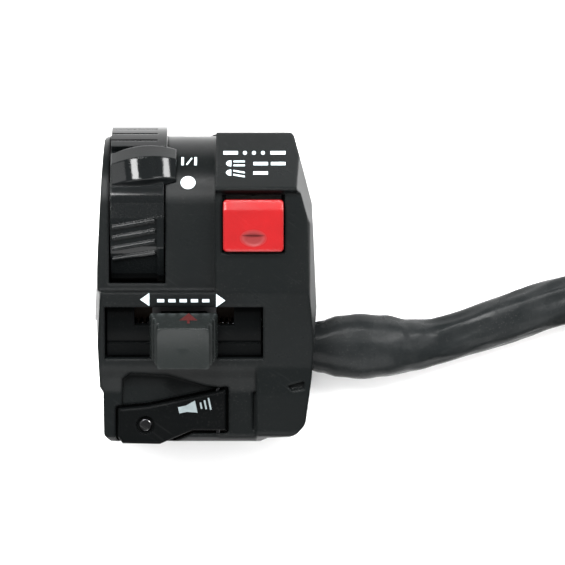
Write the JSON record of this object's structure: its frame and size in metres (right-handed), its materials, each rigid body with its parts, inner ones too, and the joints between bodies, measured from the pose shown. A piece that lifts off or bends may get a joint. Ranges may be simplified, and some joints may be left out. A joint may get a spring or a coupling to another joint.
{
  "type": "motorcycle handlebar switch cluster",
  "caption": "Left handlebar switch cluster with choke lever, headlamp dimmer rocker, sliding turn signal knob, horn lever and a sleeved harness with its connector.",
  "frame": {"origin": "centre of the handlebar bore, on its axis", "axes": "+X along the handlebar towards the stem, +Y up past the bar, +Z towards the rider, out of the buttons; the two housing halves meet at Z = 0 and the cluster lies on its front half"},
  "size_m": [0.2398, 0.1722, 0.0489],
  "materials": {
    "housing": "satin black coating on die-cast alloy",
    "lever_plastic": "semi-gloss black",
    "red_plastic": "satin red",
    "grey_plastic": "satin dark grey",
    "cover_plastic": "satin black",
    "horn_plastic": "satin black, fine grain",
    "nylon": "black nylon",
    "board": "dark brown laminate",
    "brass": "plain brass",
    "steel_screw": "zinc plated",
    "black_steel": "black oxide",
    "spring_steel": "plain",
    "sleeve_vinyl": "dull black vinyl",
    "tape": "satin black vinyl tape",
    "lead_insulation": "black insulation",
    "connector_plastic": "off-white nylon"
  },
  "bodies": {
    "root": {"rear_housing": "housing", "front_housing": "housing", "housing_screws": "steel_screw", "threaded_inserts": "brass", "choke_friction_washer": "nylon", "dimmer_pivot_pin": "steel_screw", "dimmer_base": "nylon", "dimmer_terminal_board": "board", "dimmer_fixed_contacts": "brass", "switch_base_screws": "steel_screw", "turn_cover": "cover_plastic", "turn_base": "nylon", "turn_terminal_board": "board", "turn_fixed_contacts": "brass", "turn_centring_springs": "black_steel", "horn_hinge_pin": "black_steel", "horn_return_spring": "spring_steel", "horn_base": "nylon", "horn_fixed_contact": "brass", "harness_clamp": "spring_steel", "harness_clamp_screws": "steel_screw", "switch_leads": "lead_insulation", "harness_sleeve": "sleeve_vinyl", "sleeve_end_tape": "tape", "connector_leads": "lead_insulation", "connector_housing": "connector_plastic", "connector_terminals": "brass"},
    "choke": {"choke_lever": "lever_plastic"},
    "dimmer": {"dimmer_rocker": "red_plastic", "dimmer_moving_contact": "brass", "dimmer_plunger": "nylon"},
    "turn_slide": {"turn_slider": "nylon", "turn_moving_contact": "brass", "turn_cancel_spring": "black_steel"},
    "turn_push": {"turn_knob": "grey_plastic"},
    "horn": {"horn_lever": "horn_plastic", "horn_lever_screw": "black_steel", "horn_plunger": "nylon"}
  },
  "joints": [
    {"name": "choke_pivot", "type": "hinge", "parent": "root", "child": "choke", "pos_m": [-0.01705, 0, 0], "axis": [1, 0, 0], "range_deg": [0, 20]},
    {"name": "dimmer_rock", "type": "hinge", "parent": "root", "child": "dimmer", "pos_m": [0.0119, -0.005, 0.0176], "axis": [1, 0, 0], "range_deg": [-12, 0]},
    {"name": "turn_slide", "type": "slide", "parent": "root", "child": "turn_slide", "axis": [1, 0, 0], "range_m": [-0.0065, 0.0065], "stiffness_N_per_m": 300, "deforming": ["turn_centring_springs"]},
    {"name": "turn_cancel", "type": "slide", "parent": "turn_slide", "child": "turn_push", "axis": [0, 0.2419, -0.9703], "range_m": [0, 0.0015], "stiffness_N_per_m": 800, "deforming": ["turn_cancel_spring"]},
    {"name": "horn_press", "type": "hinge", "parent": "root", "child": "horn", "pos_m": [0.003, -0.0515, 0.0106], "axis": [0, -1, 0], "range_deg": [0, 5], "stiffness_Nm_per_rad": 0.5, "deforming": ["horn_return_spring"]}
  ]
}
